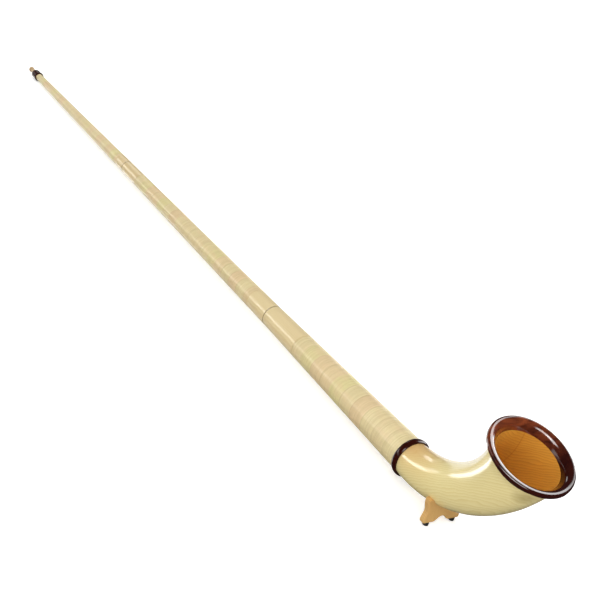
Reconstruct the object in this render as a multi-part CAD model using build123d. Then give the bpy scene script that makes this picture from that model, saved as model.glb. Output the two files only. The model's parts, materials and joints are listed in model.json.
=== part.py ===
from build123d import *
import math
import os

# A three-part wooden horn, modelled lying along X with its mouth end at -X, the collar at x = 0
# and the bell curving up in the XZ plane, then set down on its foot pads and receiver.
# Lengths are in millimetres, angles in degrees, and radii are to the outside unless named bore.

# Tube sections, measured along the straight axis
hand_section_length = 1155.0
middle_section_length = 1235.0
bell_tube_length = 760.0

# Outer radii over the cane at the ends of the sections
mouth_end_radius = 16.2
joint_1_radius = 26.6
joint_2_radius = 37.2
collar_tube_radius = 51.5

# Tube walls
cane_thickness = 1.5
tube_wall = 7.0

# Turned bushes at the two joints: tenon on the mouth side, socket on the bell side
tenon_bush_length_1 = 70.0
tenon_bush_length_2 = 110.0
socket_bush_length_1 = 140.0
socket_bush_length_2 = 190.0
tenon_length_1 = 55.0
tenon_length_2 = 75.0
bush_wall = 5.0
bush_seat_length = 40.0
tenon_wall = 3.2
cork_recess = 1.2
cork_shoulder = 10.0
tenon_clearance = 0.3
cork_clearance = 0.05
joint_gap = 1.2
tenon_end_clearance = 0.6
edge_bevel = 0.9

# Mouthpiece receiver
receiver_length = 56.0
receiver_radius = 20.0
receiver_flange = 1.6
receiver_flange_width = 6.0
receiver_nose_radius = 15.5
receiver_nose_length = 5.0
receiver_bead_width = 5.0
receiver_groove_depth = 1.3
receiver_groove_width = 2.4
tube_spigot_length = 20.0
tube_spigot_wall = 4.0

# Mouthpiece
mouthpiece_reach = 68.0
mouthpiece_rim_radius = 12.8
mouthpiece_rim_round = 2.0
mouthpiece_body_length = 46.0
mouthpiece_waist_radius = 8.4
cup_radius = 8.6
cup_depth = 16.0
throat_radius = 2.7
shank_length = 34.0
shank_entry_radius = 7.1
shank_end_radius = 6.4
shank_end_bore_radius = 4.6
shank_clearance = 0.05

# Bell: a straight neck, one round bend, and a straight end that carries the rim
neck_straight = 9.5
bend_radius = 357.0
bend_angle = 71.4
end_straight = 22.5
bell_neck_radius = 51.3
bell_mouth_radius = 94.0
bell_mouth_wall = 9.5
flare_even_share = 0.57
flare_power = 3.75
bell_stations = 10
bell_lip_length = 12.0
bell_lip_wall = 3.4

# Dark collar over the glue joint between tube and bell
collar_half_width = 9.0
collar_radius = 57.2
collar_edge_radius = 55.0
collar_seat_depth = 1.0

# Turned rim, depths counted back from its front
rim_radius = 112.8
rim_crest_radius = 107.6
rim_seat_depth = 22.5
rim_side_front = 5.0
rim_side_back = 10.0
rim_skirt_length = 5.0
rim_skirt_wall = 2.4
rim_rabbet = 1.6
rim_throat_angle = 24.0

# Foot, heights counted up from the surface that the pads stand on
foot_x = 161.0
foot_drop = 82.0
foot_thickness = 18.0
foot_set_back = 2.0
foot_edge_round = 4.0
foot_half_width = 59.0
foot_waist_half_width = 55.0
foot_waist_height = 40.0
foot_top_half_width = 64.0
foot_toe_round = 5.5
foot_arch_half_width = 27.0
foot_arch_height = 15.0

# Rubber pads and the screws of pads and foot
pad_spacing = 85.0
pad_radius = 8.0
pad_height = 8.5
pad_edge_round = 1.2
pad_screw_recess_radius = 4.2
pad_screw_recess = 3.2
pad_screw_head_radius = 3.6
pad_screw_head_height = 1.6
pad_screw_radius = 1.5
pad_screw_depth = 12.0
foot_screw_spacing = 24.0
foot_screw_radius = 2.0
foot_screw_head_radius = 4.0
foot_screw_head_height = 2.4
foot_screw_recess = 3.0
foot_screw_bite = 6.0
screw_slot_width = 1.0

# Stations along the axis
collar_x = 0.0
joint_2_x = collar_x - bell_tube_length
joint_1_x = joint_2_x - middle_section_length
mouth_x = joint_1_x - hand_section_length
receiver_x = mouth_x - receiver_length
flange_x = mouth_x - receiver_flange_width
flange_radius = receiver_radius + receiver_flange
collar_seat_radius = collar_tube_radius - cane_thickness - collar_seat_depth


def outer_radius(x):
    """Radius over the cane at x, straight between the ends of the sections"""
    ends = [
        (mouth_x, mouth_end_radius),
        (joint_1_x, joint_1_radius),
        (joint_2_x, joint_2_radius),
        (collar_x, collar_tube_radius),
    ]
    last = len(ends) - 2
    for index in range(last + 1):
        (x0, r0), (x1, r1) = ends[index], ends[index + 1]
        if x <= x1 or index == last:
            return r0 + (r1 - r0) * (x - x0) / (x1 - x0)


def wood_radius(x):
    """Radius of the wooden tube under the cane"""
    return outer_radius(x) - cane_thickness


def bore_radius(x):
    """Radius of the air column"""
    return wood_radius(x) - tube_wall


def turned(*points):
    """Solid turned about the tube's axis from a closed outline of (x, radius) points"""
    return revolve(Plane.XZ * make_face(Polyline(*points, close=True)), Axis.X)


def turned_outline(edges):
    """Solid turned about the tube's axis from joined edges drawn as (x, radius)"""
    return revolve(Plane.XZ * make_face(edges), Axis.X)


def halves(solid):
    """The player's left half and right half, parted on the plane of the bend"""
    left = split(solid, bisect_by=Plane.XZ, keep=Keep.BOTTOM)
    right = split(solid, bisect_by=Plane.XZ, keep=Keep.TOP)
    return left, right


def bush_spigot_radius(x):
    """Radius of a tube's end where it is glued into a bush whose edge is at x"""
    return outer_radius(x) - bush_wall


def tenon_radius(joint_x, tenon_length):
    """Radius of a tenon's wooden barrel"""
    return bore_radius(joint_x + tenon_length) + tenon_wall


def socket_radius(joint_x, tenon_length):
    """Bore of the socket that the tenon slides into"""
    return tenon_radius(joint_x, tenon_length) + tenon_clearance


def hand_tube():
    """Wooden tube from the receiver to the first joint's bush"""
    start = mouth_x - tube_spigot_length
    edge = joint_1_x - tenon_bush_length_1
    end = edge + bush_seat_length
    start_spigot = bore_radius(start) + tube_spigot_wall
    return turned(
        (start, bore_radius(start)),
        (start, start_spigot),
        (mouth_x, start_spigot),
        (mouth_x, wood_radius(mouth_x)),
        (edge, wood_radius(edge)),
        (edge, bush_spigot_radius(edge)),
        (end, bush_spigot_radius(edge)),
        (end, bore_radius(end)),
    )


def middle_tube():
    """Wooden tube between the two joints' bushes"""
    first_edge = joint_1_x + joint_gap + socket_bush_length_1
    start = first_edge - bush_seat_length
    last_edge = joint_2_x - tenon_bush_length_2
    end = last_edge + bush_seat_length
    return turned(
        (start, bore_radius(start)),
        (start, bush_spigot_radius(first_edge)),
        (first_edge, bush_spigot_radius(first_edge)),
        (first_edge, wood_radius(first_edge)),
        (last_edge, wood_radius(last_edge)),
        (last_edge, bush_spigot_radius(last_edge)),
        (end, bush_spigot_radius(last_edge)),
        (end, bore_radius(end)),
    )


def bell_tube():
    """Wooden tube from the second joint's socket to the collar"""
    edge = joint_2_x + joint_gap + socket_bush_length_2
    start = edge - bush_seat_length
    seat = collar_x - collar_half_width
    lip = collar_x - bell_lip_length
    lip_radius = bore_radius(collar_x) + bell_lip_wall
    return turned(
        (start, bore_radius(start)),
        (start, bush_spigot_radius(edge)),
        (edge, bush_spigot_radius(edge)),
        (edge, wood_radius(edge)),
        (seat, wood_radius(seat)),
        (seat, collar_seat_radius),
        (collar_x, collar_seat_radius),
        (collar_x, lip_radius),
        (lip, lip_radius),
        (lip, bore_radius(lip)),
    )


def winding(start, end):
    """Sleeve that the turns of cane fill between two bushes"""
    return turned(
        (start, wood_radius(start)),
        (start, outer_radius(start)),
        (end, outer_radius(end)),
        (end, wood_radius(end)),
    )


def tenon_bush(joint_x, bush_length, tenon_length):
    """Turned bush whose tenon, with a recess for its cork, slides into the next section"""
    edge = joint_x - bush_length
    seat_end = edge + bush_seat_length
    barrel = tenon_radius(joint_x, tenon_length)
    tip = joint_x + tenon_length
    cork_start = joint_x + cork_shoulder
    cork_end = tip - cork_shoulder
    return turned(
        (edge, bush_spigot_radius(edge)),
        (edge, outer_radius(edge)),
        (joint_x - edge_bevel, outer_radius(joint_x - edge_bevel)),
        (joint_x, outer_radius(joint_x) - edge_bevel),
        (joint_x, barrel),
        (cork_start, barrel),
        (cork_start, barrel - cork_recess),
        (cork_end, barrel - cork_recess),
        (cork_end, barrel),
        (tip - edge_bevel, barrel),
        (tip, barrel - edge_bevel),
        (tip, bore_radius(tip)),
        (seat_end, bore_radius(seat_end)),
        (seat_end, bush_spigot_radius(edge)),
    )


def tenon_cork(joint_x, tenon_length):
    """Cork sleeve that fills the tenon's recess and bears on the socket"""
    inner = tenon_radius(joint_x, tenon_length) - cork_recess
    outer = socket_radius(joint_x, tenon_length) - cork_clearance
    start = joint_x + cork_shoulder
    end = joint_x + tenon_length - cork_shoulder
    bevel = tenon_clearance
    return turned(
        (start, inner),
        (start, outer - bevel),
        (start + bevel, outer),
        (end - bevel, outer),
        (end, outer - bevel),
        (end, inner),
    )


def socket_bush(joint_x, bush_length, tenon_length):
    """Turned bush with the socket for a tenon and the seat for its own tube"""
    face = joint_x + joint_gap
    edge = face + bush_length
    floor = joint_x + tenon_length + tenon_end_clearance
    seat_start = edge - bush_seat_length
    socket = socket_radius(joint_x, tenon_length)
    return turned(
        (face, socket + edge_bevel),
        (face, outer_radius(face) - edge_bevel),
        (face + edge_bevel, outer_radius(face + edge_bevel)),
        (edge, outer_radius(edge)),
        (edge, bush_spigot_radius(edge)),
        (seat_start, bush_spigot_radius(edge)),
        (seat_start, bore_radius(seat_start)),
        (floor, bore_radius(floor)),
        (floor, socket),
        (face + edge_bevel, socket),
    )


def receiver():
    """Dark turned socket at the mouth end, with two grooves cut between beads"""
    shank_floor = receiver_x + shank_length + shank_clearance
    spigot_x = mouth_x - tube_spigot_length
    spigot = bore_radius(spigot_x) + tube_spigot_wall
    entry = shank_entry_radius + shank_clearance
    floor = shank_end_radius + shank_clearance
    x = receiver_x + receiver_nose_length
    edges = [
        Line((receiver_x, entry), (receiver_x, receiver_nose_radius)),
        ThreePointArc(
            (receiver_x, receiver_nose_radius),
            (
                receiver_x + receiver_nose_length * (1 - math.sqrt(0.5)),
                receiver_nose_radius + (receiver_radius - receiver_nose_radius) * math.sqrt(0.5),
            ),
            (x, receiver_radius),
        ),
    ]
    for _ in range(2):
        groove = x + receiver_groove_width
        edges.append(
            ThreePointArc(
                (x, receiver_radius),
                (x + receiver_groove_width / 2, receiver_radius - receiver_groove_depth),
                (groove, receiver_radius),
            )
        )
        x = groove + receiver_bead_width
        edges.append(Line((groove, receiver_radius), (x, receiver_radius)))
    edges += [
        Line((x, receiver_radius), (flange_x - receiver_flange, receiver_radius)),
        Line((flange_x - receiver_flange, receiver_radius), (flange_x, flange_radius)),
        Line((flange_x, flange_radius), (mouth_x, flange_radius)),
        Line((mouth_x, flange_radius), (mouth_x, spigot)),
        Line((mouth_x, spigot), (spigot_x, spigot)),
        Line((spigot_x, spigot), (spigot_x, bore_radius(spigot_x))),
        Line((spigot_x, bore_radius(spigot_x)), (shank_floor, floor)),
        Line((shank_floor, floor), (receiver_x, entry)),
    ]
    return turned_outline(edges)


def mouthpiece():
    """Turned wooden mouthpiece: rounded rim, cup, throat, and a shank that tapers into the receiver"""
    rim_x = receiver_x - mouthpiece_reach
    waist_x = rim_x + mouthpiece_body_length
    tip = receiver_x + shank_length
    outer_x = rim_x + mouthpiece_rim_round
    throat_x = rim_x + cup_depth
    edge_radius = mouthpiece_rim_radius - mouthpiece_rim_round
    along = (1, 0)
    edges = [
        ThreePointArc(
            (rim_x, edge_radius),
            (
                rim_x + mouthpiece_rim_round * (1 - math.sqrt(0.5)),
                edge_radius + mouthpiece_rim_round * math.sqrt(0.5),
            ),
            (outer_x, mouthpiece_rim_radius),
        ),
        Spline(
            (outer_x, mouthpiece_rim_radius),
            (waist_x, mouthpiece_waist_radius),
            tangents=(along, along),
        ),
        Line((waist_x, mouthpiece_waist_radius), (receiver_x - shank_clearance, mouthpiece_waist_radius)),
        Line(
            (receiver_x - shank_clearance, mouthpiece_waist_radius),
            (receiver_x - shank_clearance, shank_entry_radius),
        ),
        Line((receiver_x - shank_clearance, shank_entry_radius), (tip, shank_end_radius)),
        Line((tip, shank_end_radius), (tip, shank_end_bore_radius)),
        Line((tip, shank_end_bore_radius), (throat_x, throat_radius)),
        Spline(
            (throat_x, throat_radius),
            (outer_x, cup_radius),
            tangents=((-1, 1), (-1, 0)),
        ),
        ThreePointArc(
            (outer_x, cup_radius),
            (
                rim_x + mouthpiece_rim_round * (1 - math.sqrt(0.5)),
                cup_radius + (edge_radius - cup_radius) * (1 - math.sqrt(0.5)),
            ),
            (rim_x, edge_radius),
        ),
    ]
    return turned_outline(edges)


bend_length = bend_radius * math.radians(bend_angle)
path_length = neck_straight + bend_length + end_straight
bell_wood_end = path_length - rim_seat_depth


def path_plane(s):
    """Plane square to the bell's centre line, s from the collar's middle"""
    if s <= neck_straight:
        return Plane(origin=(s, 0, 0), x_dir=(0, 1, 0), z_dir=(1, 0, 0))
    turn = min(s - neck_straight, bend_length) / bend_radius
    beyond = max(0.0, s - neck_straight - bend_length)
    ahead, up = math.cos(turn), math.sin(turn)
    centre = (
        neck_straight + bend_radius * up + beyond * ahead,
        0,
        bend_radius * (1 - ahead) + beyond * up,
    )
    return Plane(origin=centre, x_dir=(0, 1, 0), z_dir=(ahead, 0, up))


def bell_share(s):
    """How far s is along the bell, from 0 at the collar to 1 at the rim's seat"""
    return (s - collar_half_width) / (bell_wood_end - collar_half_width)


def bell_outer_radius(s):
    """Bell radius: an even taper, and a flare that gathers towards the rim"""
    t = bell_share(s)
    flare = flare_even_share * t + (1 - flare_even_share) * t**flare_power
    return bell_neck_radius + (bell_mouth_radius - bell_neck_radius) * flare


def bell_inner_radius(s):
    """Bore of the bell, whose wall thickens evenly from the collar to the rim"""
    neck_wall = bell_neck_radius - bore_radius(collar_x)
    return bell_outer_radius(s) - neck_wall - (bell_mouth_wall - neck_wall) * bell_share(s)


def bell_loft(radius_at):
    """Smooth solid through round sections square to the bell's centre line"""
    step = (bell_wood_end - collar_half_width) / (bell_stations - 1)
    places = [collar_half_width + step * index for index in range(bell_stations)]
    return loft([path_plane(s) * Circle(radius_at(s)) for s in places])


def rim_plane():
    """Front plane of the rim, facing out of the bell"""
    return path_plane(path_length)


def bell_envelope():
    """The bell's outer form, filled"""
    return bell_loft(bell_outer_radius)


def bell(envelope):
    """Hollow bell with its glued lip, the seat of the collar and the rabbet of the rim"""
    bore = bore_radius(collar_x)
    neck = turned(
        (collar_x - bell_lip_length, bore),
        (collar_x - bell_lip_length, bore + bell_lip_wall),
        (collar_x, bore + bell_lip_wall),
        (collar_x, collar_seat_radius),
        (collar_half_width, collar_seat_radius),
        (collar_half_width, bore),
    )
    shell = envelope - bell_loft(bell_inner_radius) + neck
    rabbet = rim_plane().offset(-rim_seat_depth - rim_skirt_length) * Pos(0, 0, rim_skirt_length / 2) * (
        Cylinder(bell_mouth_radius * 2, rim_skirt_length)
        - Cylinder(bell_mouth_radius - rim_rabbet, rim_skirt_length)
    )
    return shell - rabbet


def bell_collar():
    """Rounded dark ring over the joint of tube and bell"""
    edges = [
        Line((-collar_half_width, collar_seat_radius), (-collar_half_width, collar_edge_radius)),
        ThreePointArc(
            (-collar_half_width, collar_edge_radius),
            (collar_x, collar_radius),
            (collar_half_width, collar_edge_radius),
        ),
        Line((collar_half_width, collar_edge_radius), (collar_half_width, collar_seat_radius)),
        Line((collar_half_width, collar_seat_radius), (-collar_half_width, collar_seat_radius)),
    ]
    return turned_outline(edges)


def bell_rim():
    """Turned rim: a flare out of the bore, a rolled crest, a side band and a skirt over the bell's end"""
    bore = bell_mouth_radius - bell_mouth_wall
    rabbet = bell_mouth_radius - rim_rabbet
    skirt = rabbet + rim_skirt_wall
    back = rim_seat_depth + rim_skirt_length
    lean = math.radians(rim_throat_angle)
    round_share = math.sqrt(0.5)
    crest_width = rim_radius - rim_crest_radius
    edges = [
        Spline(
            (bore, -rim_seat_depth),
            (rim_crest_radius, 0),
            tangents=((math.sin(lean), math.cos(lean)), (1, 0)),
        ),
        ThreePointArc(
            (rim_crest_radius, 0),
            (
                rim_crest_radius + crest_width * round_share,
                -rim_side_front * (1 - round_share),
            ),
            (rim_radius, -rim_side_front),
        ),
        Line((rim_radius, -rim_side_front), (rim_radius, -rim_side_back)),
        Spline(
            (rim_radius, -rim_side_back),
            (skirt, -back),
            tangents=((-1, -1), (-0.4, -1)),
        ),
        Line((skirt, -back), (rabbet, -back)),
        Line((rabbet, -back), (rabbet, -rim_seat_depth)),
        Line((rabbet, -rim_seat_depth), (bore, -rim_seat_depth)),
    ]
    section = Plane(origin=(0, 0, 0), x_dir=(1, 0, 0), z_dir=(0, -1, 0)) * make_face(edges)
    return rim_plane() * revolve(section, Axis.Z)


# The surface under the horn touches the pads and the front edge of the receiver's flange
floor_slope = math.atan2(foot_drop - flange_radius, foot_x - flange_x)
floor_plane = Plane(
    origin=(foot_x, 0, -foot_drop),
    x_dir=(math.cos(floor_slope), 0, -math.sin(floor_slope)),
    z_dir=(math.sin(floor_slope), 0, math.cos(floor_slope)),
)


def foot_outline():
    """Scalloped front outline of the foot, drawn as (sideways, height) and mirrored"""
    sole = pad_height
    top = foot_drop
    waist = (foot_waist_half_width, foot_waist_height)
    toe = (foot_half_width - foot_toe_round, sole)
    toe_side = (foot_half_width, sole + foot_toe_round)
    round_share = math.sqrt(0.5)
    half = [
        Spline(
            (0, sole + foot_arch_height),
            (foot_arch_half_width, sole),
            tangents=((1, 0), (1, 0)),
        ),
        Line((foot_arch_half_width, sole), toe),
        ThreePointArc(
            toe,
            (
                toe[0] + foot_toe_round * round_share,
                sole + foot_toe_round * (1 - round_share),
            ),
            toe_side,
        ),
        Spline(toe_side, waist, (foot_top_half_width, top), tangents=((0, 1), (0, 1))),
        Line((foot_top_half_width, top), (0, top)),
    ]
    half_face = make_face(half + [Line((0, top), (0, sole + foot_arch_height))])
    return half_face + mirror(half_face, Plane.YZ)


def foot_screw(side):
    """Slotted countersunk screw from the foot's arch up into the bell's wall"""
    place = side * foot_screw_spacing / 2
    head_z = pad_height + foot_arch_height + foot_screw_recess
    head = Pos(0, 0, foot_screw_head_height / 2) * Cone(
        foot_screw_head_radius, foot_screw_radius, foot_screw_head_height
    )
    slot = Box(foot_screw_head_radius * 2, screw_slot_width, screw_slot_width)
    wall_z = bell_underside(place) + foot_screw_bite
    shank_length = wall_z - head_z
    shank = Pos(0, 0, shank_length / 2) * Cylinder(foot_screw_radius, shank_length)
    return Pos(-foot_set_back, place, head_z) * (head + shank - slot)


def bell_underside(sideways):
    """Height of the bell's underside over the foot, a little off the middle"""
    turn = math.asin((foot_x - foot_set_back - neck_straight) / bend_radius)
    s = neck_straight + bend_radius * turn
    radius = bell_outer_radius(s)
    centre = bend_radius * (1 - math.cos(turn))
    return foot_drop + centre - math.sqrt(radius**2 - sideways**2) / math.cos(turn)


def foot_screw_way(side):
    """Counterbore below a foot screw's head"""
    place = side * foot_screw_spacing / 2
    head_z = pad_height + foot_arch_height + foot_screw_recess
    return Pos(-foot_set_back, place, head_z / 2) * Cylinder(foot_screw_head_radius, head_z)


def pad(side):
    """Round rubber pad with a recess for its screw"""
    outline = [
        Line((pad_screw_recess_radius, 0), (pad_radius - pad_edge_round, 0)),
        ThreePointArc(
            (pad_radius - pad_edge_round, 0),
            (
                pad_radius - pad_edge_round * (1 - math.sqrt(0.5)),
                pad_edge_round * (1 - math.sqrt(0.5)),
            ),
            (pad_radius, pad_edge_round),
        ),
        Line((pad_radius, pad_edge_round), (pad_radius, pad_height)),
        Line((pad_radius, pad_height), (pad_screw_radius, pad_height)),
        Line((pad_screw_radius, pad_height), (pad_screw_radius, pad_screw_recess)),
        Line((pad_screw_radius, pad_screw_recess), (pad_screw_recess_radius, pad_screw_recess)),
        Line((pad_screw_recess_radius, pad_screw_recess), (pad_screw_recess_radius, 0)),
    ]
    return Pos(0, side * pad_spacing / 2, 0) * revolve(Plane.XZ * make_face(outline), Axis.Z)


def pad_screw(side):
    """Slotted pan-head screw that holds a pad to the foot"""
    head_z = pad_screw_recess - pad_screw_head_height
    head = Pos(0, 0, head_z + pad_screw_head_height / 2) * Cylinder(
        pad_screw_head_radius, pad_screw_head_height
    )
    length = pad_height - pad_screw_recess + pad_screw_depth
    shank = Pos(0, 0, pad_screw_recess + length / 2) * Cylinder(pad_screw_radius, length)
    slot = Pos(0, 0, head_z) * Box(pad_screw_head_radius * 2, screw_slot_width, screw_slot_width)
    return Pos(0, side * pad_spacing / 2, 0) * (head + shank - slot)


def foot_blank():
    """The foot before its saddle and screw holes are cut, in the floor's frame"""
    back = -foot_set_back - foot_thickness / 2
    sideways = Plane(origin=(back, 0, 0), x_dir=(0, 1, 0), z_dir=(1, 0, 0))
    plate = extrude(sideways * foot_outline(), foot_thickness)
    rounded = plate.faces().filter_by(Axis.X).edges().filter_by_position(
        Axis.Z, 0, foot_drop, inclusive=(True, False)
    )
    return fillet(rounded, foot_edge_round)


sides = (-1, 1)
pads = [floor_plane * pad(side) for side in sides]
pad_screws = [floor_plane * pad_screw(side) for side in sides]
foot_screws = [floor_plane * foot_screw(side) for side in sides]
foot_screw_ways = [floor_plane * foot_screw_way(side) for side in sides]

envelope = bell_envelope()
foot = floor_plane * foot_blank() - envelope
for cutter in pad_screws + foot_screws + foot_screw_ways:
    foot -= cutter
bell_shell = bell(envelope)
for cutter in foot_screws:
    bell_shell -= cutter

hand_left, hand_right = halves(hand_tube())
middle_left, middle_right = halves(middle_tube())
bell_tube_left, bell_tube_right = halves(bell_tube())
bell_left, bell_right = halves(bell_shell)

nodes = {
    "mouthpiece": [mouthpiece()],
    "mouthpiece_receiver": [receiver()],
    "hand_tube_left_half": [hand_left],
    "hand_tube_right_half": [hand_right],
    "hand_tube_winding": [winding(mouth_x, joint_1_x - tenon_bush_length_1)],
    "hand_tube_tenon_bush": [tenon_bush(joint_1_x, tenon_bush_length_1, tenon_length_1)],
    "hand_tube_tenon_cork": [tenon_cork(joint_1_x, tenon_length_1)],
    "middle_tube_socket_bush": [socket_bush(joint_1_x, socket_bush_length_1, tenon_length_1)],
    "middle_tube_left_half": [middle_left],
    "middle_tube_right_half": [middle_right],
    "middle_tube_winding": [
        winding(joint_1_x + joint_gap + socket_bush_length_1, joint_2_x - tenon_bush_length_2)
    ],
    "middle_tube_tenon_bush": [tenon_bush(joint_2_x, tenon_bush_length_2, tenon_length_2)],
    "middle_tube_tenon_cork": [tenon_cork(joint_2_x, tenon_length_2)],
    "bell_tube_socket_bush": [socket_bush(joint_2_x, socket_bush_length_2, tenon_length_2)],
    "bell_tube_left_half": [bell_tube_left],
    "bell_tube_right_half": [bell_tube_right],
    "bell_tube_winding": [
        winding(joint_2_x + joint_gap + socket_bush_length_2, collar_x - collar_half_width)
    ],
    "bell_collar": [bell_collar()],
    "bell_left_half": [bell_left],
    "bell_right_half": [bell_right],
    "bell_rim": [bell_rim()],
    "foot": [foot],
    "foot_screws": foot_screws,
    "foot_pads": pads,
    "pad_screws": pad_screws,
}

# Set the horn down: level the floor, then put the origin under the middle of its box
level = Rot(0, -math.degrees(floor_slope), 0)
levelled = {name: [level * shape for shape in shapes] for name, shapes in nodes.items()}
box = Compound([part for shapes in levelled.values() for part in shapes]).bounding_box()
middle = box.center()
settle = Pos(-middle.X, -middle.Y, -box.min.Z)

os.makedirs("parts", exist_ok=True)
for name, shapes in levelled.items():
    solids = [solid for shape in shapes for solid in (settle * shape).solids()]
    export_step(solids[0] if len(solids) == 1 else Compound(solids), f"parts/{name}.step")
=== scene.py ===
"""Finishes a cane-wound alphorn over its solid parts and sets it in a plain studio"""

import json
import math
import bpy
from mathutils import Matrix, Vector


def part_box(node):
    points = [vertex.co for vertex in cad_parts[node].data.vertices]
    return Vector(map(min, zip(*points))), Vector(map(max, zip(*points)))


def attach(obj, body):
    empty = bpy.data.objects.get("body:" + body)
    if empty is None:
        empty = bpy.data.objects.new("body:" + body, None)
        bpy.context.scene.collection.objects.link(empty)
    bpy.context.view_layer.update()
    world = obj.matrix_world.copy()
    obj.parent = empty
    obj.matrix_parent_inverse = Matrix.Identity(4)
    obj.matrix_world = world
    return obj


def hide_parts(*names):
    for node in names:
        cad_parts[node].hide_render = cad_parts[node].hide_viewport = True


bl_info = {
    "name": "Alphorn",
    "version": (1, 0, 0),
    "blender": (4, 5, 0),
    "location": "View3D > Sidebar > Alphorn",
    "description": "Cane windings, wood finishes and studio for a three-part alphorn",
    "category": "Object",
}

import bpy
from bpy.props import FloatProperty, FloatVectorProperty, IntProperty, PointerProperty
from mathutils import Matrix, Vector

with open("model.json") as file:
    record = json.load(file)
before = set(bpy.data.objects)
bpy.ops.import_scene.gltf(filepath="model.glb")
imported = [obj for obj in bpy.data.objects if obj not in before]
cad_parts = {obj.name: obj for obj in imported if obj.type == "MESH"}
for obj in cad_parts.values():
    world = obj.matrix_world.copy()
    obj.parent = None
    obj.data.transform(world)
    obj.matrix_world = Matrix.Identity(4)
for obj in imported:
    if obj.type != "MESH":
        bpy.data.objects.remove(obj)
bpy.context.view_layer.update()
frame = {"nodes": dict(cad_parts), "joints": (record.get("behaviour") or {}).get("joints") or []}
nodes = frame["nodes"]

WINDINGS = {
    "hand_tube_winding": "hand_section",
    "middle_tube_winding": "middle_section",
    "bell_tube_winding": "bell_section",
}
BUSHES = [
    "hand_tube_tenon_bush",
    "middle_tube_socket_bush",
    "middle_tube_tenon_bush",
    "bell_tube_socket_bush",
]
TUBE_HALVES = [
    f"{section}_tube_{side}_half"
    for section in ("hand", "middle", "bell")
    for side in ("left", "right")
]

# Sockets of a mix node that blends colours: its share and two colours, and its result
MIX_INPUTS = (0, 6, 7)
MIX_OUTPUT = 2

# Dark line inside the bell, in metres from the plane where the halves meet
STREAK_PLACE = 0.0430
STREAK_HALF_WIDTH = 0.0008

# Name and coat of each rosewood, and where it goes from pale to dark, in metres ahead of the collar
ALL_DARK = (-9.0, -8.0)
ROSEWOODS = {
    "bell_rim": ("rim_rosewood", 0.9, (0.25, 0.37)),
    "bell_collar": ("collar_rosewood", 0.35, ALL_DARK),
    "mouthpiece_receiver": ("receiver_rosewood", 0.06, ALL_DARK),
}

# Values between which a noise is drawn from none to full
NOISE_RANGE = (0.3, 0.7)
FIBRE_RANGE = (0.45, 0.75)
CLOUD_RANGE = (0.35, 0.7)

RUBBER_SPECK = (0.02, 0.02, 0.02)
STEEL_DARK = (0.25, 0.24, 0.22)
WHITE = (1, 1, 1, 1)

# A solid's ends are read in the first and last of this many parts of its length
END_PARTS = 1000

# Soft panels that gloss alone sees, each fading out to this many times its size
PANEL_EDGE = 1.3
PANELS = [
    # turn and rise of the middle, half width and half height in degrees, brightness
    (-139.0, 10.0, 12.0, 4.0, 4.5),
    (-130.0, 10.0, 34.0, 5.0, 2.5),
    (-45.0, 45.0, 24.0, 11.0, 12.0),
    (150.0, -23.0, 30.0, 20.0, 1.0),
    (105.0, 24.0, 9.0, 20.0, 7.5),
    (168.0, 24.0, 6.0, 4.0, 3.5),
    (-170.0, -21.0, 4.0, 14.0, 5.0),
]


def node_centre(name):
    """Middle of a solid's box"""
    low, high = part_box(name)
    return (low + high) / 2


collar_centre = node_centre("bell_collar")
along = -Vector(frame["joints"][0]["axis"]).normalized()
side = Vector((0, 1, 0))
above = along.cross(side).normalized()


def linear(red, green, blue):
    """Scene colour from the red, green and blue of a screen, 0 to 255, by the sRGB curve"""
    def channel(value):
        share = value / 255
        return share / 12.92 if share <= 0.04045 else ((share + 0.055) / 1.055) ** 2.4
    return channel(red), channel(green), channel(blue)


def colour(name, description, red, green, blue):
    """Colour setting with its default given as on a screen"""
    return FloatVectorProperty(
        name=name, description=description, subtype="COLOR", size=3, min=0, max=1,
        default=linear(red, green, blue),
    )


def length(name, description, metres):
    """Length setting"""
    return FloatProperty(
        name=name, description=description, default=metres, unit="LENGTH", precision=5
    )


def angle(name, description, degrees):
    """Angle setting with its default given in degrees"""
    return FloatProperty(
        name=name, description=description, default=math.radians(degrees), unit="ROTATION"
    )


def amount(name, description, default):
    """Plain number setting"""
    return FloatProperty(name=name, description=description, default=default)


def place(name, description, default):
    """Position setting in metres"""
    return FloatVectorProperty(
        name=name, description=description, default=default, subtype="TRANSLATION"
    )


class AlphornSizes(bpy.types.PropertyGroup):
    """Sizes of the pieces that are made here, and of the marks in the finishes"""

    cane_width: length("Cane width", "Width of one turn of cane along the tube", 0.0040)
    cane_height: length("Cane height", "Height of the cane over the wood", 0.0015)
    cane_crown: length("Cane crown", "How much of the height is rounded", 0.0008)
    cane_crown_steps: IntProperty(
        name="Crown steps", description="Facets in each rounded edge", default=2
    )
    cane_smooth: angle("Cane smoothing", "Steepest edge of the cane that is shaded smooth", 16)
    facet: length("Facet", "Longest straight stretch round the tube", 0.0058)
    turns_per_strand: amount("Turns per strand", "Turns that one length of cane makes", 14.0)
    joint_gap: length("Joint gap", "Open line between two pieces of the tube", 0.0012)
    # Reach of the painted shadow on each side of a joint
    joint_shade: length("Joint shade", "Reach of the dirt on each side of a joint", 0.0023)
    bend_radius: length("Bend radius", "Radius of the bell's centre line", 0.357)
    bend_start: length("Bend start", "Straight neck between collar and bend", 0.0095)
    bend_angle: angle("Bend angle", "Turn of the bell's centre line", 71.4)
    neck_middle: length("Neck middle", "Radius of the middle of the wall at the neck", 0.0472)
    mouth_middle: length("Mouth middle", "Radius of the middle of the wall at the mouth", 0.0892)
    flare_share: amount("Flare share", "Even part of the flare", 0.57)
    flare_power: amount("Flare power", "How late the flare opens", 3.75)
    # Middle of the painted shade on the bell under the rim, from the collar
    painted_rim_shade_place: place(
        "Knot place", "Dark figure under the rim, from the collar", (0.401, -0.0385, 0.196)
    )
    block_tilt: angle("Block tilt", "Tilt of the bell's wood grain", 30)


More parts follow.
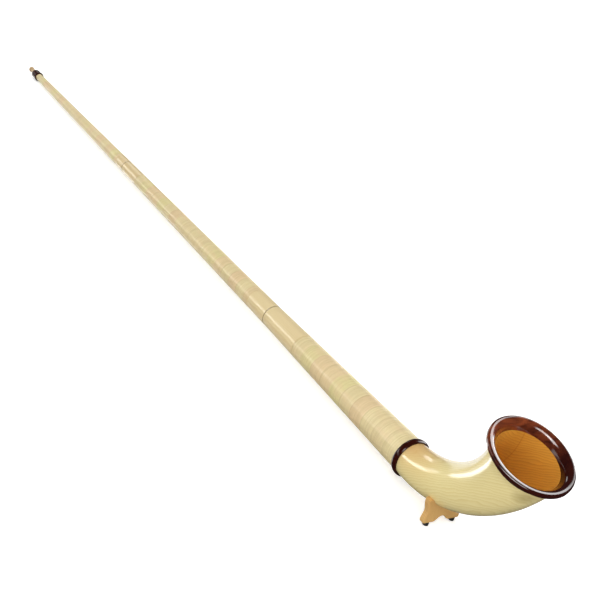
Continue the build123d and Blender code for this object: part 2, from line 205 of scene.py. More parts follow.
class AlphornColours(bpy.types.PropertyGroup):
    """Colours of the woods, the trim and the floor"""

    cane_straw: colour("Cane straw", "Main colour of the cane", 231, 216, 167)
    cane_pink: colour("Cane pink", "Pinkish lengths of cane", 230, 203, 160)
    cane_yellow: colour("Cane yellow", "Yellowish lengths of cane", 225, 215, 155)
    # Darker cane for darker turns, fibres and strand ends, also used as the painted shade between
    # the turns
    cane_dark_and_groove_shade: colour("Cane groove", "Shade between the turns", 168, 142, 96)
    maple: colour("Maple", "Turned bushes at the joints", 228, 210, 162)
    maple_grain: colour("Maple grain", "Darker lines in the bushes", 206, 174, 122)
    bell_pale: colour("Bell pale", "Bell's outside, between the growth lines", 238, 223, 163)
    bell_grain: colour("Bell grain", "Bell's outside, growth lines", 210, 184, 114)
    # Colour of the painted shade on the bell under the rim
    bell_painted_rim_shade: colour("Bell knot", "Dark figure under the rim", 150, 128, 66)
    bell_heart: colour("Bell heartwood", "Warm wood by the collar, on the upper side", 206, 156, 92)
    bell_inside: colour("Bell inside", "Bell's inside, between the growth lines", 227, 165, 64)
    bell_inside_grain: colour("Bell inside grain", "Bell's inside, growth lines", 180, 108, 32)
    rosewood: colour("Rosewood", "Red streaks of the dark trim", 142, 68, 36)
    rosewood_dark: colour("Rosewood dark", "Dark of the trim", 38, 4, 3)
    foot_pale: colour("Foot pale", "Foot between its growth lines", 220, 178, 112)
    foot_grain: colour("Foot grain", "Growth lines of the foot", 190, 138, 74)
    mouthpiece_pale: colour("Mouthpiece pale", "Mouthpiece between its growth lines", 196, 166, 120)
    mouthpiece_grain: colour("Mouthpiece grain", "Growth lines of the mouthpiece", 160, 122, 78)
    # Colour of the painted shadow line along the joints
    painted_joint_shadow: colour("Joint dirt", "Dark line of the joints", 88, 64, 32)
    cork_light: colour("Cork light", "Grains of the cork", 186, 136, 86)
    cork_dark: colour("Cork dark", "Pores of the cork", 92, 54, 30)
    rubber: colour("Rubber", "Foot pads", 20, 20, 20)
    steel: colour("Steel", "Screws", 190, 186, 178)
    floor: colour("Floor", "Plain pale floor", 250, 250, 249)
    floor_bounce: colour("Floor bounce", "Floor as it lights the horn from below", 214, 212, 208)


class AlphornStudio(bpy.types.PropertyGroup):
    """Camera and light"""

    camera_place: place("Camera place", "Where the camera stands", (3.0146, -1.6909, 1.5215))
    camera_turn: FloatVectorProperty(
        name="Camera turn", description="How the camera is turned", subtype="EULER",
        default=tuple(math.radians(turn) for turn in (63.866, -13.902, 59.827)),
    )
    camera_lens: amount("Lens", "Focal length in millimetres", 61.96)
    camera_sensor: amount("Sensor", "Side of the camera's square picture in millimetres", 36.0)
    floor_reach: length("Floor reach", "Half the width of the floor", 60.0)
    key_place: place("Key place", "Where the soft light before the bell stands", (3.5, -2.1, 2.9))
    key_width: length("Key width", "Width of the soft light", 1.1)
    key_height: length("Key height", "Height of the soft light", 0.6)
    key_power: amount("Key power", "Watts of the soft light", 34.0)
    sky: amount("Sky", "Brightness of the white all round", 0.97)
    room: amount("Room", "Brightness that gloss reflects between the panels", 0.05)
    floor_lift: amount("Floor lift", "Light that the floor adds for the camera", 0.42)


def sizes():
    """Settings of the sizes"""
    return bpy.context.scene.alphorn_sizes


def colours():
    """Settings of the colours"""
    return bpy.context.scene.alphorn_colours


def studio():
    """Settings of the camera and the light"""
    return bpy.context.scene.alphorn_studio


# Shader helpers

def fill(tree, socket, value):
    """Links a socket to another node's output, or gives it a value"""
    if isinstance(value, bpy.types.NodeSocket):
        tree.links.new(value, socket)
    elif socket.type == "RGBA":
        socket.default_value = (*value, 1.0)
    else:
        socket.default_value = value


def add(tree, kind, inputs=None, **settings):
    """Adds a node, sets it, and links or fills its inputs"""
    node = tree.nodes.new(kind)
    for name, value in settings.items():
        setattr(node, name, value)
    for name, value in (inputs or {}).items():
        fill(tree, node.inputs[name], value)
    return node


def calculate(tree, operation, *values, clamp=False):
    """Result of one math node"""
    inputs = dict(enumerate(values))
    return add(tree, "ShaderNodeMath", inputs, operation=operation, use_clamp=clamp).outputs[0]


def times(tree, first, second):
    """Product of two numbers"""
    return calculate(tree, "MULTIPLY", first, second)


def hypotenuse(tree, first, second):
    """Length over two sides at right angles"""
    squares = (times(tree, first, first), times(tree, second, second))
    return calculate(tree, "SQRT", calculate(tree, "ADD", *squares))


def vector_math(tree, operation, first, second, output="Vector"):
    """Result of one vector math node"""
    inputs = {0: first, 1: second}
    return add(tree, "ShaderNodeVectorMath", inputs, operation=operation).outputs[output]


def stretch(tree, vector, x=1.0, y=1.0, z=1.0):
    """Vector with each part multiplied"""
    return vector_math(tree, "MULTIPLY", vector, (x, y, z))


def split(tree, vector):
    """Parts of a vector, by the names X, Y and Z"""
    return add(tree, "ShaderNodeSeparateXYZ", {0: vector}).outputs


def combine(tree, x, y, z=0.0):
    """Vector from its three parts"""
    return add(tree, "ShaderNodeCombineXYZ", {"X": x, "Y": y, "Z": z}).outputs[0]


def mix(tree, share, first, second):
    """Blend of two colours"""
    node = add(tree, "ShaderNodeMix", data_type="RGBA")
    for index, value in zip(MIX_INPUTS, (share, first, second)):
        fill(tree, node.inputs[index], value)
    return node.outputs[MIX_OUTPUT]


def spread(tree, value, low, high, to_low=0.0, to_high=1.0):
    """Value mapped from one range to another, held at its ends"""
    inputs = {
        "Value": value, "From Min": low, "From Max": high, "To Min": to_low, "To Max": to_high,
    }
    return add(tree, "ShaderNodeMapRange", inputs, clamp=True).outputs["Result"]


def between(tree, share, first, second):
    """Number that goes from the first to the second as the share goes from 0 to 1"""
    return spread(tree, share, 0.0, 1.0, first, second)


def noise(tree, vector, scale, detail, distortion=0.0):
    """Grey value of a noise"""
    inputs = {"Vector": vector, "Scale": scale, "Detail": detail, "Distortion": distortion}
    return add(tree, "ShaderNodeTexNoise", inputs).outputs["Fac"]


def chance(tree, value):
    """Number from 0 to 1 that is always the same for one value"""
    kind = "ShaderNodeTexWhiteNoise"
    return add(tree, kind, {"W": value}, noise_dimensions="1D").outputs["Value"]


def attribute(tree, name):
    """Value that the mesh carries at its points"""
    return add(tree, "ShaderNodeAttribute", attribute_name=name).outputs["Fac"]


def bump(tree, height, depth):
    """Normal raised by a height"""
    return add(tree, "ShaderNodeBump", {"Height": height, "Distance": depth}).outputs["Normal"]


def group(name, inputs, outputs):
    """Empty shader node group with named sockets"""
    tree = bpy.data.node_groups.new(name, "ShaderNodeTree")
    for direction, sockets in (("INPUT", inputs), ("OUTPUT", outputs)):
        for socket, kind in sockets.items():
            tree.interface.new_socket(socket, in_out=direction, socket_type=f"NodeSocket{kind}")
    start = tree.nodes.new("NodeGroupInput")
    end = tree.nodes.new("NodeGroupOutput")
    return tree, start.outputs, end.inputs


def use(tree, name, **inputs):
    """Outputs of a node group placed in a material"""
    node = tree.nodes.new("ShaderNodeGroup")
    node.node_tree = bpy.data.node_groups[name]
    for key, value in inputs.items():
        fill(tree, node.inputs[key], value)
    return node.outputs


def finish(name, **constants):
    """Material with a Principled shader whose constant sockets are set"""
    material = bpy.data.materials.new(name)
    material.use_nodes = True
    tree = material.node_tree
    shader = tree.nodes["Principled BSDF"]
    for key, value in constants.items():
        shader.inputs[key.replace("_", " ")].default_value = value
    return material, tree, shader


def feed(tree, shader, **sockets):
    """Links values to the shader's sockets"""
    for key, value in sockets.items():
        tree.links.new(value, shader.inputs[key.replace("_", " ")])


def wear(name, material):
    """Puts a material on a solid"""
    nodes[name].data.materials.clear()
    nodes[name].data.materials.append(material)
    for polygon in nodes[name].data.polygons:
        polygon.material_index = 0


# Shared effects

def make_tube_place():
    """Group: place from the collar, with X along the tube, Y to its side and Z above it"""
    tree, _, out = group("tube_place", {}, {"Place": "Vector", "Along": "Float"})
    point = add(tree, "ShaderNodeTexCoord").outputs["Object"]
    local = vector_math(tree, "SUBTRACT", point, collar_centre)
    parts = [
        vector_math(tree, "DOT_PRODUCT", local, axis, "Value") for axis in (along, side, above)
    ]
    tree.links.new(combine(tree, *parts), out["Place"])
    tree.links.new(parts[0], out["Along"])


def make_bell_place():
    """Group: how far a point is along the bell, off its plane and round it, and if it is inside"""
    size = sizes()
    outputs = {"Station": "Float", "Across": "Float", "Turn": "Float", "Inside": "Float"}
    tree, _, out = group("bell_place", {}, outputs)
    axes = split(tree, use(tree, "tube_place")["Place"])
    ahead = calculate(tree, "SUBTRACT", axes["X"], size.bend_start)
    drop = calculate(tree, "SUBTRACT", size.bend_radius, axes["Z"])
    turned = calculate(tree, "ARCTAN2", ahead, drop)
    outward = calculate(tree, "SUBTRACT", hypotenuse(tree, ahead, drop), size.bend_radius)
    from_line = hypotenuse(tree, outward, axes["Y"])
    share = spread(tree, turned, 0.0, size.bend_angle)
    flared = calculate(tree, "POWER", share, size.flare_power)
    even = times(tree, share, size.flare_share)
    flare = calculate(tree, "MULTIPLY_ADD", flared, 1 - size.flare_share, even)
    opening = size.mouth_middle - size.neck_middle
    middle = calculate(tree, "MULTIPLY_ADD", flare, opening, size.neck_middle)
    around = calculate(tree, "ARCTAN2", axes["Y"], outward)
    tree.links.new(times(tree, turned, size.bend_radius), out["Station"])
    tree.links.new(axes["Y"], out["Across"])
    tree.links.new(calculate(tree, "DIVIDE", around, math.tau), out["Turn"])
    tree.links.new(calculate(tree, "LESS_THAN", from_line, middle), out["Inside"])


def make_joint_shade():
    """Group: painted shadow along the two joints of the tube"""
    tree, _, out = group("joint_shade", {}, {"Shade": "Float"})
    station = use(tree, "tube_place")["Along"]
    size = sizes()
    lines = []
    for name in ("middle_tube_socket_bush", "bell_tube_socket_bush"):
        joint = reach(name)[0] - size.joint_gap / 2
        away = calculate(tree, "ABSOLUTE", calculate(tree, "SUBTRACT", station, joint))
        lines.append(spread(tree, away, size.joint_shade / 2, size.joint_shade, 1.0, 0.0))
    tree.links.new(calculate(tree, "MAXIMUM", *lines), out["Shade"])


def make_block_place():
    """Group: place in the block that the bell is cut from, its length along the mean of the bend"""
    tree, _, out = group("block_place", {}, {"Block": "Vector"})
    point = use(tree, "tube_place")["Place"]
    tilt = sizes().block_tilt
    length_axis = Vector((math.cos(tilt), 0, math.sin(tilt)))
    layer_axis = Vector((-math.sin(tilt), 0, math.cos(tilt)))
    parts = [
        vector_math(tree, "DOT_PRODUCT", point, axis, "Value")
        for axis in (length_axis, layer_axis, Vector((0, 1, 0)))
    ]
    tree.links.new(combine(tree, *parts), out["Block"])


def make_grain():
    """Group: growth lines, fibres and clouds of wood whose length lies along X of the place"""
    ripple_share = 0.35
    layer_lean = 0.35
    line_sharpness = 2.2
    inputs = {"Place": "Vector", "Width": "Float", "Waver": "Float"}
    outputs = {"Lines": "Float", "Fibre": "Float", "Cloud": "Float"}
    tree, given, out = group("grain", inputs, outputs)
    long_place = stretch(tree, given["Place"], x=0.09)
    drift = noise(tree, long_place, scale=9.0, detail=3.0)
    short_place = stretch(tree, given["Place"], x=0.5)
    ripple = noise(tree, short_place, scale=30.0, detail=2.0)
    bent = calculate(tree, "MULTIPLY_ADD", ripple, ripple_share, drift)
    axes = split(tree, given["Place"])
    layer = calculate(tree, "MULTIPLY_ADD", axes["Z"], layer_lean, axes["Y"])
    depth = calculate(tree, "ADD", layer, times(tree, bent, given["Waver"]))
    ring = calculate(tree, "FRACT", calculate(tree, "DIVIDE", depth, given["Width"]))
    fibre_place = stretch(tree, given["Place"], x=0.05)
    tree.links.new(calculate(tree, "POWER", ring, line_sharpness), out["Lines"])
    tree.links.new(noise(tree, fibre_place, scale=1400.0, detail=2.0), out["Fibre"])
    tree.links.new(noise(tree, long_place, scale=14.0, detail=2.0), out["Cloud"])


# Finishes

def cane_finish():
    """Varnished cane: lengths of differing straw, fibres along them and painted shade in the
    grooves
    """
    pink_share, yellow_share, patch_share = 0.75, 0.8, 0.45
    turn_shade, fibre_shade, groove_shade, end_shade = 0.22, 0.25, 0.35, 0.2
    groove_sharpness = 1.6
    plain_ends = 0.35
    crown_width = 0.6
    colour_of = colours()
    material, tree, shader = finish(
        "cane", Coat_Weight=0.5, Coat_Roughness=0.22, Specular_IOR_Level=0.3
    )
    lay = attribute(tree, "lay")
    crown = attribute(tree, "crown")
    lengths = calculate(tree, "DIVIDE", lay, sizes().turns_per_strand)
    strand = chance(tree, calculate(tree, "FLOOR", lengths))
    turn = chance(tree, calculate(tree, "FLOOR", lay))

    pink = spread(tree, strand, 0.55, 0.95, 0.0, pink_share)
    body = mix(tree, pink, colour_of.cane_straw, colour_of.cane_pink)
    yellow = spread(tree, strand, 0.45, 0.05, 0.0, yellow_share)
    body = mix(tree, yellow, body, colour_of.cane_yellow)
    body = mix(tree, between(tree, turn, 0.0, turn_shade), body, colour_of.cane_dark_and_groove_shade)

    run = combine(tree, lay, times(tree, crown, crown_width))
    fibre = noise(tree, stretch(tree, run, x=2.5, y=26.0), scale=3.0, detail=5.0)
    dark_fibre = spread(tree, fibre, 0.42, 0.72, 0.0, fibre_shade)
    body = mix(tree, dark_fibre, body, colour_of.cane_dark_and_groove_shade)
    patch_place = stretch(tree, use(tree, "tube_place")["Place"], x=0.6)
    patch = noise(tree, patch_place, scale=26.0, detail=3.0)
    body = mix(tree, spread(tree, patch, 0.5, 0.7, 0.0, patch_share), body, colour_of.cane_pink)

    # Painted shade in the grooves between the turns, darker where the crown falls away
    hollow = calculate(tree, "SUBTRACT", 1.0, crown, clamp=True)
    painted_groove_shade = times(tree, calculate(tree, "POWER", hollow, groove_sharpness), groove_shade)
    body = mix(tree, painted_groove_shade, body, colour_of.cane_dark_and_groove_shade)
    start = calculate(tree, "FRACT", lengths)
    first_turn = calculate(tree, "LESS_THAN", start, 1 / sizes().turns_per_strand)
    shown = calculate(tree, "GREATER_THAN", strand, plain_ends)
    end = times(tree, times(tree, first_turn, shown), end_shade)
    body = mix(tree, end, body, colour_of.cane_dark_and_groove_shade)
    feed(
        tree, shader, Base_Color=body, Normal=bump(tree, fibre, depth=0.00002),
        Roughness=spread(tree, fibre, *NOISE_RANGE, 0.34, 0.5),
    )
    return material


def plain_wood(name, pale, dark, width, waver, roughness, coat, painted_joint_shadow=0.0):
    """Wood that reads its grain along the tube"""
    line_share, fibre_share, cloud_share = 0.45, 0.3, 0.3
    rougher = roughness + 0.12
    material, tree, shader = finish(
        name, Coat_Weight=coat, Coat_Roughness=0.2, Specular_IOR_Level=0.3
    )
    point = use(tree, "tube_place")["Place"]
    grain = use(tree, "grain", Place=point, Width=width, Waver=waver)
    body = mix(tree, times(tree, grain["Lines"], line_share), pale, dark)
    body = mix(tree, spread(tree, grain["Fibre"], *FIBRE_RANGE, 0.0, fibre_share), body, dark)
    body = mix(tree, spread(tree, grain["Cloud"], *CLOUD_RANGE, 0.0, cloud_share), body, dark)
    # Painted shadow along the joints of the tube
    if painted_joint_shadow:
        shade = times(tree, use(tree, "joint_shade")["Shade"], painted_joint_shadow)
        body = mix(tree, shade, body, colours().painted_joint_shadow)
    feed(
        tree, shader, Base_Color=body, Normal=bump(tree, grain["Fibre"], depth=0.00005),
        Roughness=spread(tree, grain["Fibre"], *NOISE_RANGE, roughness, rougher),
    )
    return material


def bell_finish():
    """Bell: pale gloss varnish outside, warm oiled wood inside, and the glue line of its halves"""
    line_share, fibre_share, heart_share, painted_rim_shade_share = 0.4, 0.15, 0.75, 0.55
    inside_line_share, inside_cloud_share, streak_share, glue_share = 0.55, 0.3, 0.4, 0.35
    painted_rim_shade_raggedness = 0.02
    varnish_gloss, oil_gloss = 0.9, 0.35
    colour_of = colours()
    material, tree, shader = finish("bell_wood", Coat_Roughness=0.06, Specular_IOR_Level=0.25)
    spot = use(tree, "bell_place")
    block = use(tree, "block_place")["Block"]
    grain = use(tree, "grain", Place=block, Width=0.0066, Waver=0.045)
    lines = times(tree, grain["Lines"], line_share)
    outside = mix(tree, lines, colour_of.bell_pale, colour_of.bell_grain)
    fibre = spread(tree, grain["Fibre"], *FIBRE_RANGE, 0.0, fibre_share)
    outside = mix(tree, fibre, outside, colour_of.bell_grain)

    by_collar = spread(tree, spot["Station"], 0.01, 0.17, 1.0, 0.0)
    off_top = calculate(tree, "ABSOLUTE", spot["Turn"])
    heart = times(tree, by_collar, spread(tree, off_top, 0.2, 0.42, 0.0, heart_share))
    outside = mix(tree, heart, outside, colour_of.bell_heart)
    # Painted shade on the bell under the rim: a soft dark patch with a ragged edge
    point = use(tree, "tube_place")["Place"]
    painted_rim_shade_away = vector_math(tree, "DISTANCE", point, sizes().painted_rim_shade_place, "Value")
    painted_rim_shade_edge = calculate(tree, "MULTIPLY_ADD", grain["Cloud"], painted_rim_shade_raggedness, painted_rim_shade_away)
    painted_rim_shade = spread(tree, painted_rim_shade_edge, 0.018, 0.042, painted_rim_shade_share, 0.0)
    outside = mix(tree, painted_rim_shade, outside, colour_of.bell_painted_rim_shade)

    lines = times(tree, grain["Lines"], inside_line_share)
    inside = mix(tree, lines, colour_of.bell_inside, colour_of.bell_inside_grain)
    cloud = spread(tree, grain["Cloud"], *CLOUD_RANGE, 0.0, inside_cloud_share)
    inside = mix(tree, cloud, inside, colour_of.bell_inside_grain)
    off_streak = calculate(tree, "SUBTRACT", spot["Across"], STREAK_PLACE)
    streak = spread(
        tree, calculate(tree, "ABSOLUTE", off_streak),
        STREAK_HALF_WIDTH, 2 * STREAK_HALF_WIDTH, streak_share, 0.0,
    )
    inside = mix(tree, streak, inside, colour_of.bell_inside_grain)

    body = mix(tree, spot["Inside"], outside, inside)
    off_plane = calculate(tree, "ABSOLUTE", spot["Across"])
    glue = spread(tree, off_plane, 0.0001, 0.0004, glue_share, 0.0)
    body = mix(tree, glue, body, colour_of.bell_inside_grain)
    feed(
        tree, shader, Base_Color=body, Normal=bump(tree, grain["Fibre"], depth=0.00003),
        Roughness=between(tree, spot["Inside"], 0.26, 0.42),
        Coat_Weight=between(tree, spot["Inside"], varnish_gloss, oil_gloss),
    )
    return material


def rosewood_finish(name, coat, to_dark):
    """Dark polished rosewood with red streaks, paler towards one end of its block"""
    least_red = 0.05
    pore_share = 0.5
    colour_of = colours()
    material, tree, shader = finish(
        name, Coat_Weight=coat, Coat_Roughness=0.04, Specular_IOR_Level=0.05
    )
    point = use(tree, "tube_place")["Place"]
    figure_place = stretch(tree, point, x=34.0, y=7.0, z=34.0)
    figure = noise(tree, figure_place, scale=1.8, detail=6.0, distortion=0.5)
    paler = spread(tree, split(tree, point)["X"], *to_dark, 1.0, least_red)
    red = times(tree, spread(tree, figure, 0.3, 0.62), paler)
    body = mix(tree, red, colour_of.rosewood_dark, colour_of.rosewood)
    pore_place = stretch(tree, point, x=60.0, y=900.0, z=60.0)
    pores = noise(tree, pore_place, scale=1.0, detail=2.0)
    dark_pores = spread(tree, pores, 0.55, 0.8, 0.0, pore_share)
    body = mix(tree, dark_pores, body, colour_of.rosewood_dark)
    feed(
        tree, shader, Base_Color=body, Normal=bump(tree, pores, depth=0.00002),
        Roughness=spread(tree, pores, 0.3, 0.8, 0.18, 0.3),
    )
    return material


def cork_finish():
    """Granular cork with dark pores"""
    pore_share = 0.8
    colour_of = colours()
    material, tree, shader = finish("cork")
    point = use(tree, "tube_place")["Place"]
    cells = add(tree, "ShaderNodeTexVoronoi", {"Vector": point, "Scale": 650.0}).outputs
    shade = add(tree, "ShaderNodeSeparateColor", {0: cells["Color"]}).outputs[0]
    pores = spread(tree, shade, 0.55, 1.0, 0.0, pore_share)
    body = mix(tree, pores, colour_of.cork_light, colour_of.cork_dark)
    feed(
        tree, shader, Base_Color=body, Normal=bump(tree, cells["Distance"], depth=0.0002),
        Roughness=between(tree, shade, 0.75, 0.95),
    )
    return material


def rubber_finish():
    """Matt black rubber with a fine moulded texture"""
    material, tree, shader = finish("rubber")
    point = use(tree, "tube_place")["Place"]
    speckle = noise(tree, point, scale=2500.0, detail=2.0)
    body = mix(tree, spread(tree, speckle, 0.4, 0.7), colours().rubber, RUBBER_SPECK)
    feed(
        tree, shader, Base_Color=body, Normal=bump(tree, speckle, depth=0.00005),
        Roughness=spread(tree, speckle, *NOISE_RANGE, 0.6, 0.8),
    )
    return material


def steel_finish():
    """Turned steel of the screws"""
    dark_share = 0.3
    material, tree, shader = finish("steel_screw", Metallic=1.0)
    point = use(tree, "tube_place")["Place"]
    brushed = noise(tree, point, scale=1800.0, detail=3.0)
    dark = spread(tree, brushed, *NOISE_RANGE, 0.0, dark_share)
    body = mix(tree, dark, colours().steel, STEEL_DARK)
    feed(tree, shader, Base_Color=body, Roughness=spread(tree, brushed, *NOISE_RANGE, 0.25, 0.42))
    return material


def floor_finish():
    """White floor that lights the horn softly from below and isn't seen in its gloss"""
    colour_of = colours()
    material, tree, shader = finish("floor", Roughness=0.9, Emission_Color=WHITE)
    path = add(tree, "ShaderNodeLightPath").outputs
    seen = mix(tree, path["Is Camera Ray"], colour_of.floor_bounce, colour_of.floor)
    lift = times(tree, path["Is Camera Ray"], studio().floor_lift)
    solid = calculate(tree, "SUBTRACT", 1.0, path["Is Glossy Ray"])
    feed(tree, shader, Base_Color=seen, Emission_Strength=lift, Alpha=solid)
    return material


# Modelling helpers

def reach(name):
    """Where a solid starts and ends along the tube, and its outer radius at both ends"""
    spots = []
    for vertex in nodes[name].data.vertices:
        local = vertex.co - collar_centre
        station = local.dot(along)
        spots.append((station, (local - along * station).length))
    start = min(station for station, _ in spots)
    end = max(station for station, _ in spots)
    margin = (end - start) / END_PARTS
    first = max(radius for station, radius in spots if station < start + margin)
    last = max(radius for station, radius in spots if station > end - margin)
    return start, end, first, last


def active(obj):
    """Selects one object alone"""
    bpy.ops.object.select_all(action="DESELECT")
    obj.select_set(True)
    bpy.context.view_layer.objects.active = obj


def apply_transform():
    """Applies the move, turn and scale of the selected object"""
    bpy.ops.object.transform_apply(location=True, rotation=True, scale=True)


def cane_outline(inner, width, height, crown, steps):
    """Loop of one cane: flat on the wood, upright sides and a rounded crown"""
    bpy.ops.object.select_all(action="DESELECT")
    bpy.ops.mesh.primitive_plane_add(size=1.0, rotation=(math.pi / 2, 0, 0))
    outline = bpy.context.object
    apply_transform()
    middle = inner + height / 2
    outline.scale = (height, 1, width)
    outline.location = (middle, 0, width / 2)
    apply_transform()
    for vertex in outline.data.vertices:
        vertex.select = vertex.co.x > middle
    for edge in outline.data.edges:
        edge.select = all(outline.data.vertices[index].select for index in edge.vertices)
    for polygon in outline.data.polygons:
        polygon.select = False
    bpy.ops.object.mode_set(mode="EDIT")
    bpy.ops.mesh.select_mode(type="VERT")
    bpy.ops.mesh.bevel(offset=crown, segments=steps, affect="VERTICES", clamp_overlap=True)
    bpy.ops.mesh.select_all(action="SELECT")
    bpy.ops.mesh.delete(type="ONLY_FACE")
    bpy.ops.object.mode_set(mode="OBJECT")
    return outline


def add_value(mesh, name, values):
    """Point attribute that a material reads"""
    mesh.attributes.new(name, "FLOAT", "POINT").data.foreach_set("value", values)


def close_ends():
    """Fills the two open ends of the active coil and turns its faces outward"""
    bpy.ops.object.mode_set(mode="EDIT")
    bpy.ops.mesh.select_mode(type="EDGE")
    bpy.ops.mesh.select_all(action="DESELECT")
    bpy.ops.mesh.select_non_manifold()
    bpy.ops.mesh.edge_face_add()
    bpy.ops.mesh.select_all(action="SELECT")
    bpy.ops.mesh.normals_make_consistent(inside=False)
    bpy.ops.object.mode_set(mode="OBJECT")


def wind(name, body, material):
    """Turns of cane that fill a solid's sleeve from end to end"""
    size = sizes()
    start, end, first, last = reach(name)
    turns = round((end - start) / size.cane_width)
    pitch = (end - start) / turns
    inner = first - size.cane_height
    coil = cane_outline(inner, pitch, size.cane_height, size.cane_crown, size.cane_crown_steps)
    coil.name = name.replace("winding", "cane")
    mesh = coil.data
    corners = len(mesh.vertices)
    steps = math.ceil(math.tau * last / size.facet)
    screw = coil.modifiers.new("turns", "SCREW")
    screw.screw_offset = pitch
    screw.iterations = turns - 1
    screw.steps = steps
    screw.render_steps = steps
    screw.use_merge_vertices = False
    active(coil)
    bpy.ops.object.modifier_apply(modifier=screw.name)
    crowns = []
    for vertex in mesh.vertices:
        rise = math.hypot(vertex.co.x, vertex.co.y) - first + size.cane_crown
        crowns.append(min(1.0, max(0.0, rise / size.cane_crown)))
    add_value(mesh, "crown", crowns)
    add_value(mesh, "lay", [(index // corners) / steps for index in range(len(mesh.vertices))])
    taper = coil.modifiers.new("taper", "SIMPLE_DEFORM")
    taper.deform_method = "TAPER"
    taper.deform_axis = "Z"
    taper.factor = last / first - 1
    bpy.ops.object.modifier_apply(modifier=taper.name)
    close_ends()
    turn = Matrix((-above, -side, along)).transposed().to_4x4()
    coil.matrix_world = Matrix.Translation(collar_centre + along * start) @ turn
    apply_transform()
    bpy.ops.object.shade_smooth_by_angle(angle=size.cane_smooth)
    mesh.materials.append(material)
    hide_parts(name)
    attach(coil, body)


# Studio helpers

def panel(tree, direction, turn, rise, half_width, half_height, brightness):
    """Light of one soft panel that gloss reflects, by direction"""
    turn, rise = math.radians(turn), math.radians(rise)
    level = math.cos(rise)
    ahead = Vector((level * math.cos(turn), level * math.sin(turn), math.sin(rise)))
    across = Vector((-math.sin(turn), math.cos(turn), 0))
    depth, right, up = (
        vector_math(tree, "DOT_PRODUCT", direction, axis, "Value")
        for axis in (ahead, across, ahead.cross(across))
    )
    light = calculate(tree, "GREATER_THAN", depth, 0.0)
    for offset, half in ((right, half_width), (up, half_height)):
        edge = math.tan(math.radians(half))
        share = calculate(tree, "ABSOLUTE", calculate(tree, "DIVIDE", offset, depth))
        light = times(tree, light, spread(tree, share, edge, edge * PANEL_EDGE, 1.0, 0.0))
    return times(tree, light, brightness)


def studio_sky():
    """Even white light all round, with a dim room and soft panels in the gloss"""
    settings = studio()
    sky = bpy.data.worlds.new("studio")
    sky.use_nodes = True
    tree = sky.node_tree
    direction = add(tree, "ShaderNodeTexCoord").outputs["Generated"]
    gloss = settings.room
    for soft_panel in PANELS:
        gloss = calculate(tree, "ADD", gloss, panel(tree, direction, *soft_panel))
    path = add(tree, "ShaderNodeLightPath").outputs
    camera_ray = path["Is Camera Ray"]
    even = between(tree, camera_ray, settings.sky, 1 + settings.floor_lift)
    difference = calculate(tree, "SUBTRACT", gloss, even)
    strength = calculate(tree, "MULTIPLY_ADD", path["Is Glossy Ray"], difference, even)
    background = tree.nodes["Background"]
    background.inputs["Color"].default_value = WHITE
    tree.links.new(strength, background.inputs["Strength"])
    return sky


def soft_light(name, location, target, width, height, watts):
    """Area light that faces a point"""
    bpy.ops.object.select_all(action="DESELECT")
    facing = (Vector(target) - Vector(location)).to_track_quat("-Z", "Y").to_euler()
    bpy.ops.object.light_add(type="AREA", location=location, rotation=facing)
    light = bpy.context.object
    light.name = name
    light.data.shape = "RECTANGLE"
    light.data.size = width
    light.data.size_y = height
    light.data.energy = watts


class ALPHORN_OT_effects(bpy.types.Operator):
    """Make the shared shader groups"""

    bl_idname = "alphorn.effects"
    bl_label = "Shared effects"

    def execute(self, context):
        make_tube_place()
        make_bell_place()
        make_block_place()
        make_joint_shade()
        make_grain()
        return {"FINISHED"}


class ALPHORN_OT_cane(bpy.types.Operator):
    """Wind the cane on the three tubes"""

    bl_idname = "alphorn.cane"
    bl_label = "Cane windings"

    def execute(self, context):
        material = cane_finish()
        for name, body in WINDINGS.items():
            wind(name, body, material)
        return {"FINISHED"}


class ALPHORN_OT_tubes(bpy.types.Operator):
    """Finish the bushes, the tube halves and the corks"""

    bl_idname = "alphorn.tubes"
    bl_label = "Tubes and joints"

    def execute(self, context):
        colour_of = colours()
        maple = plain_wood(
            "pale_maple", colour_of.maple, colour_of.maple_grain,
            width=0.006, waver=0.02, roughness=0.34, coat=0.5, painted_joint_shadow=0.85,
        )
        spruce = plain_wood(
            "tube_spruce", colour_of.maple, colour_of.maple_grain,
            width=0.003, waver=0.01, roughness=0.5, coat=0.0,
        )
        cork = cork_finish()
        for name in BUSHES:
            wear(name, maple)
        for name in TUBE_HALVES:
            wear(name, spruce)
        for name in ("hand_tube_tenon_cork", "middle_tube_tenon_cork"):
            wear(name, cork)
        return {"FINISHED"}


class ALPHORN_OT_bell(bpy.types.Operator):
    """Finish the two halves of the bell"""

    bl_idname = "alphorn.bell"
    bl_label = "Bell"

    def execute(self, context):
        material = bell_finish()
        for name in ("bell_left_half", "bell_right_half"):
            wear(name, material)
        return {"FINISHED"}


class ALPHORN_OT_dark_trim(bpy.types.Operator):
    """Finish the rim, the collar and the mouthpiece receiver"""

    bl_idname = "alphorn.dark_trim"
    bl_label = "Rim, collar and receiver"

    def execute(self, context):
        for name, settings in ROSEWOODS.items():
            wear(name, rosewood_finish(*settings))
        return {"FINISHED"}


class ALPHORN_OT_mouthpiece(bpy.types.Operator):
    """Finish the mouthpiece"""

    bl_idname = "alphorn.mouthpiece"
    bl_label = "Mouthpiece"

    def execute(self, context):
        colour_of = colours()
        wear("mouthpiece", plain_wood(
            "mouthpiece_wood", colour_of.mouthpiece_pale, colour_of.mouthpiece_grain,
            width=0.0022, waver=0.006, roughness=0.34, coat=0.3,
        ))
        return {"FINISHED"}


class ALPHORN_OT_foot(bpy.types.Operator):
    """Finish the foot, its pads and its screws"""

    bl_idname = "alphorn.foot"
    bl_label = "Foot"

    def execute(self, context):
        colour_of = colours()
        wear("foot", plain_wood(
            "foot_wood", colour_of.foot_pale, colour_of.foot_grain,
            width=0.0045, waver=0.015, roughness=0.38, coat=0.3,
        ))
        wear("foot_pads", rubber_finish())
        steel = steel_finish()
        for name in ("foot_screws", "pad_screws"):
            wear(name, steel)
        return {"FINISHED"}


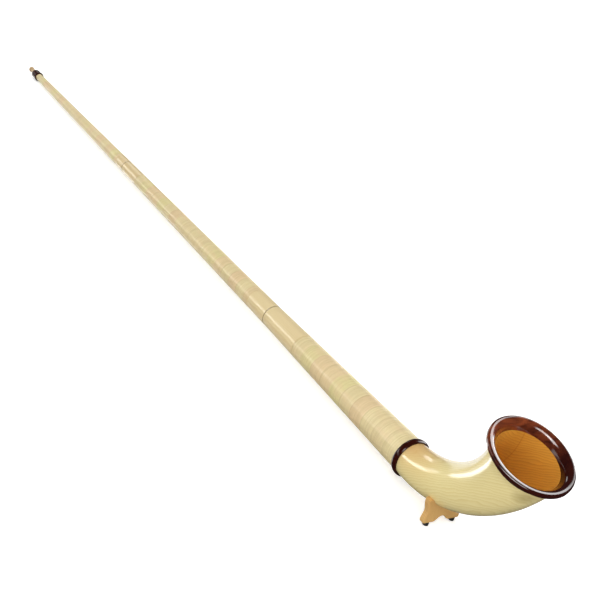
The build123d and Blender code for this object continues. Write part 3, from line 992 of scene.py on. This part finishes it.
class ALPHORN_OT_studio(bpy.types.Operator):
    """Set up the floor, the light and the camera"""

    bl_idname = "alphorn.studio"
    bl_label = "Studio"

    def execute(self, context):
        settings = studio()
        bpy.ops.object.select_all(action="DESELECT")
        bpy.ops.mesh.primitive_plane_add(size=2 * settings.floor_reach)
        floor = bpy.context.object
        floor.name = "floor"
        floor.data.materials.append(floor_finish())
        context.scene.world = studio_sky()
        context.scene.view_settings.view_transform = "Standard"
        soft_light(
            "key_light", settings.key_place, node_centre("bell_left_half"),
            settings.key_width, settings.key_height, settings.key_power,
        )
        bpy.ops.object.camera_add(location=settings.camera_place, rotation=settings.camera_turn)
        camera = bpy.context.object
        camera.data.sensor_fit = "HORIZONTAL"
        camera.data.sensor_width = settings.camera_sensor
        camera.data.lens = settings.camera_lens
        context.scene.camera = camera
        return {"FINISHED"}


class ALPHORN_PT_panel(bpy.types.Panel):
    """Sidebar list of the alphorn's settings and steps"""

    bl_idname = "ALPHORN_PT_panel"
    bl_label = "Alphorn"
    bl_space_type = "VIEW_3D"
    bl_region_type = "UI"
    bl_category = "Alphorn"

    def draw(self, context):
        layout = self.layout
        for operator in OPERATORS:
            layout.operator(operator.bl_idname)
        for settings in (sizes(), colours(), studio()):
            for name in settings.__annotations__:
                layout.prop(settings, name)


SETTINGS = (AlphornSizes, AlphornColours, AlphornStudio)
OPERATORS = (
    ALPHORN_OT_effects,
    ALPHORN_OT_cane,
    ALPHORN_OT_tubes,
    ALPHORN_OT_bell,
    ALPHORN_OT_dark_trim,
    ALPHORN_OT_mouthpiece,
    ALPHORN_OT_foot,
    ALPHORN_OT_studio,
)


def register():
    """Adds the classes and the scene's settings to Blender"""
    for kind in (*SETTINGS, *OPERATORS, ALPHORN_PT_panel):
        bpy.utils.register_class(kind)
    bpy.types.Scene.alphorn_sizes = PointerProperty(type=AlphornSizes)
    bpy.types.Scene.alphorn_colours = PointerProperty(type=AlphornColours)
    bpy.types.Scene.alphorn_studio = PointerProperty(type=AlphornStudio)


def unregister():
    """Takes the settings and the classes out again"""
    del bpy.types.Scene.alphorn_studio
    del bpy.types.Scene.alphorn_colours
    del bpy.types.Scene.alphorn_sizes
    for kind in reversed((*SETTINGS, *OPERATORS, ALPHORN_PT_panel)):
        bpy.utils.unregister_class(kind)


def main():
    """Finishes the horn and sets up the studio"""
    register()
    bpy.ops.alphorn.effects()
    bpy.ops.alphorn.cane()
    bpy.ops.alphorn.tubes()
    bpy.ops.alphorn.bell()
    bpy.ops.alphorn.dark_trim()
    bpy.ops.alphorn.mouthpiece()
    bpy.ops.alphorn.foot()
    bpy.ops.alphorn.studio()


if __name__ == "__main__":
    main()
